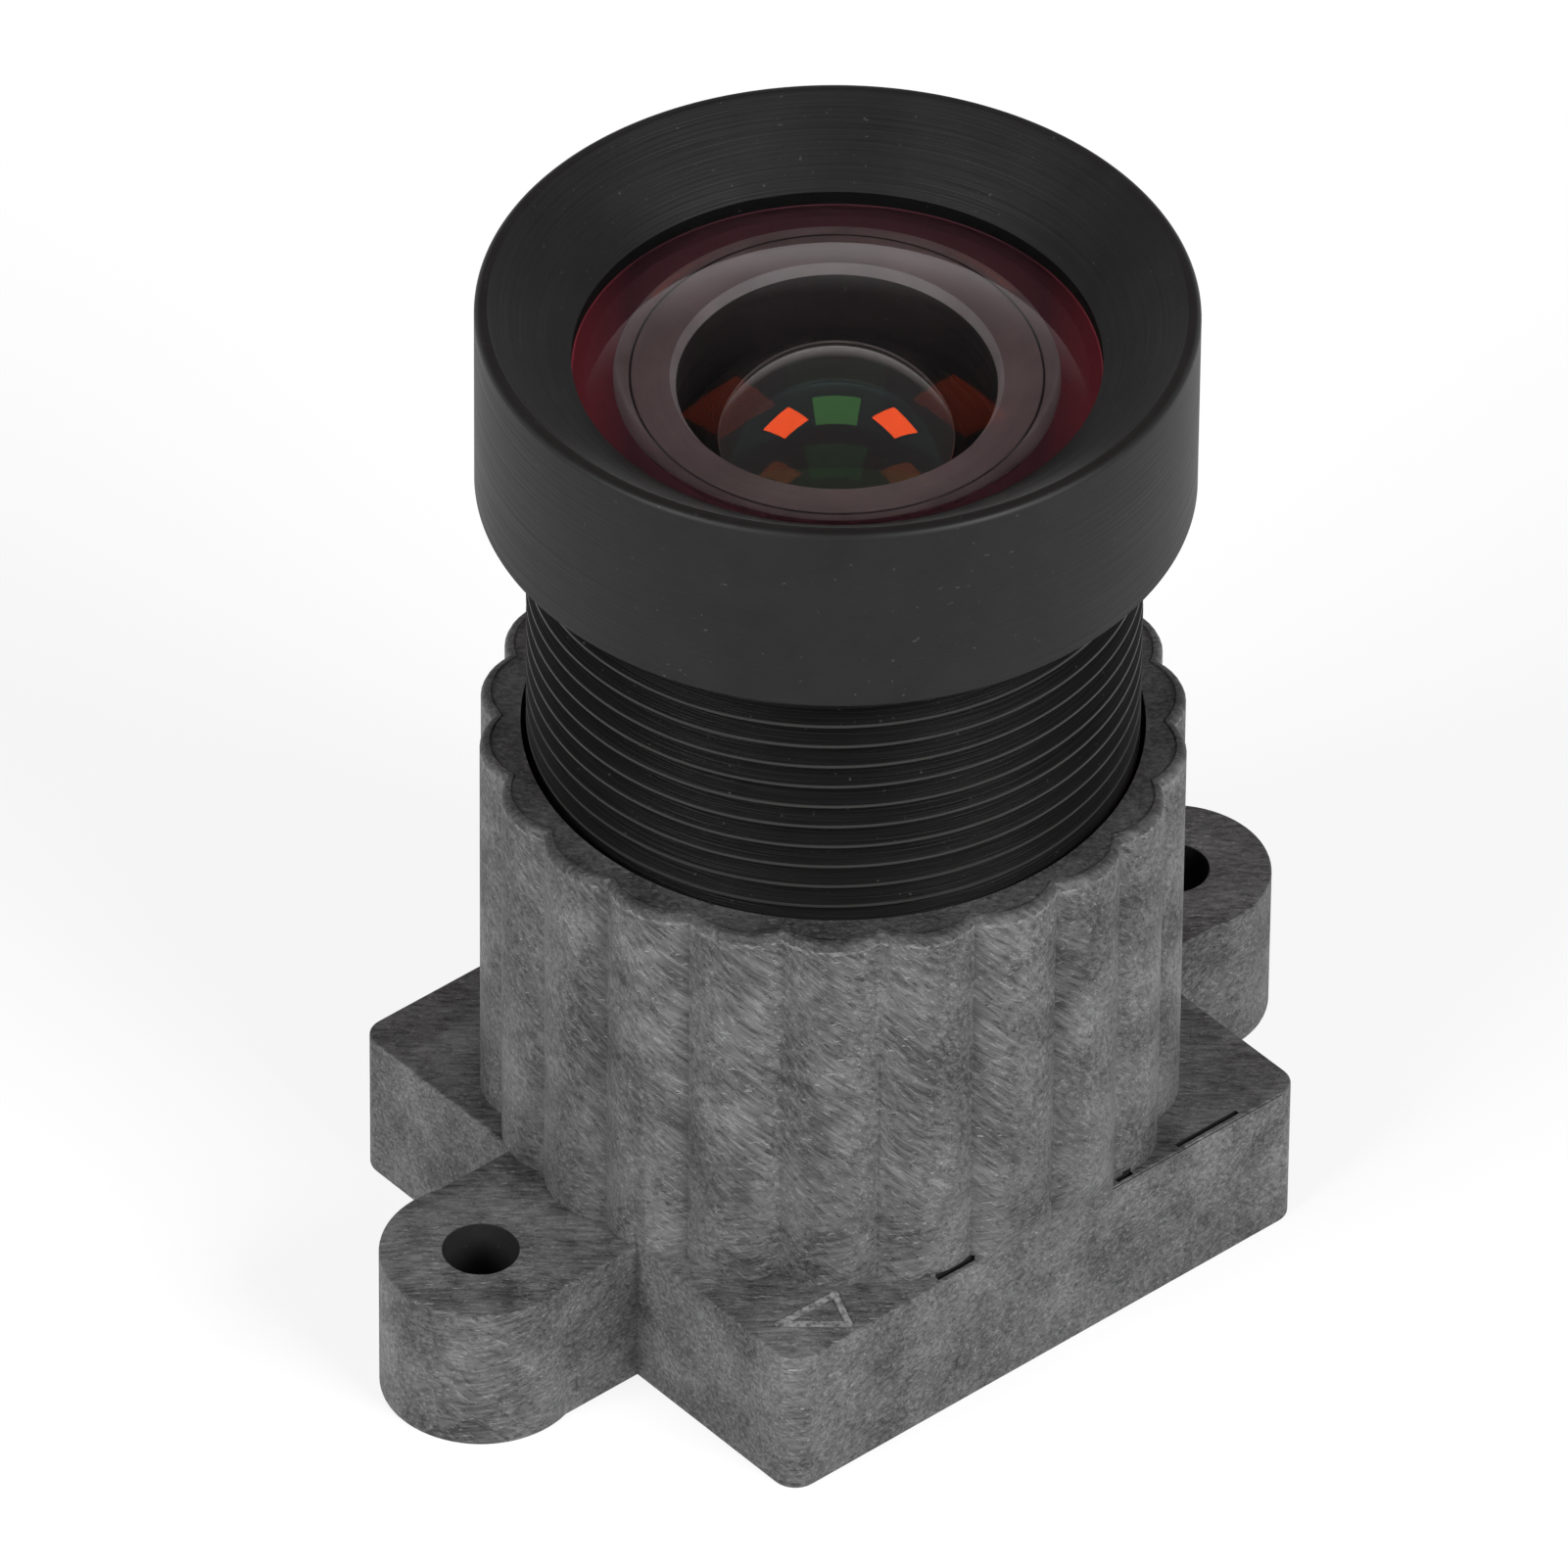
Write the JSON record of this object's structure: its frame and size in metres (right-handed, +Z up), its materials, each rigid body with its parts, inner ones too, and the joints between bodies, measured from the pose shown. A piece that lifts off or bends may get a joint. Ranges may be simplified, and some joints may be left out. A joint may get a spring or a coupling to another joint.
{
  "type": "m12 board camera lens in its lens holder",
  "caption": "Small camera lens with a flared black head and fine thread, screwed into a grey fluted plastic holder with a square base and two screw ears.",
  "frame": {"origin": "centre of the holder's flat underside, on the optical axis", "axes": "+Z up along the optical axis, from the board towards the scene; +X along the line of the two screw holes in the ears"},
  "size_m": [0.022, 0.014, 0.0223],
  "materials": {
    "fibre_plastic": "satin, swirled with short fibres",
    "black_anodised": "matt black anodised, finely turned",
    "matt_black": "matt black",
    "coated_glass": "polished and coated",
    "filter_glass": "polished, with a coloured coating"
  },
  "bodies": {
    "holder": {"lens_holder": "fibre_plastic"},
    "stop_carrier": {"aperture_stop": "matt_black"},
    "lens": {"front_cap": "black_anodised", "lens_barrel": "black_anodised", "front_element": "coated_glass", "front_spacer": "black_anodised", "second_element": "coated_glass", "front_light_shield": "matt_black", "middle_spacer": "black_anodised", "third_element": "coated_glass", "stop_spacer": "black_anodised", "fourth_element": "coated_glass", "fifth_element": "coated_glass", "rear_spacer": "black_anodised", "rear_light_shield": "matt_black", "sixth_element": "coated_glass", "rear_retainer": "black_anodised", "ir_filter": "filter_glass"}
  },
  "joints": [
    {"name": "lens_advance", "type": "slide", "parent": "holder", "child": "stop_carrier", "axis": [0, 0, 1], "range_m": [-0.00576, 0.00401]},
    {"name": "lens_turn", "type": "hinge", "parent": "stop_carrier", "child": "lens", "pos_m": [0, 0, 0.0128], "axis": [0, 0, 1], "range_deg": [-4140, 2880]}
  ],
  "couplings": [
    {"joint": "lens_advance", "follows": "lens_turn", "m_per_rad": 0.000079577}
  ]
}
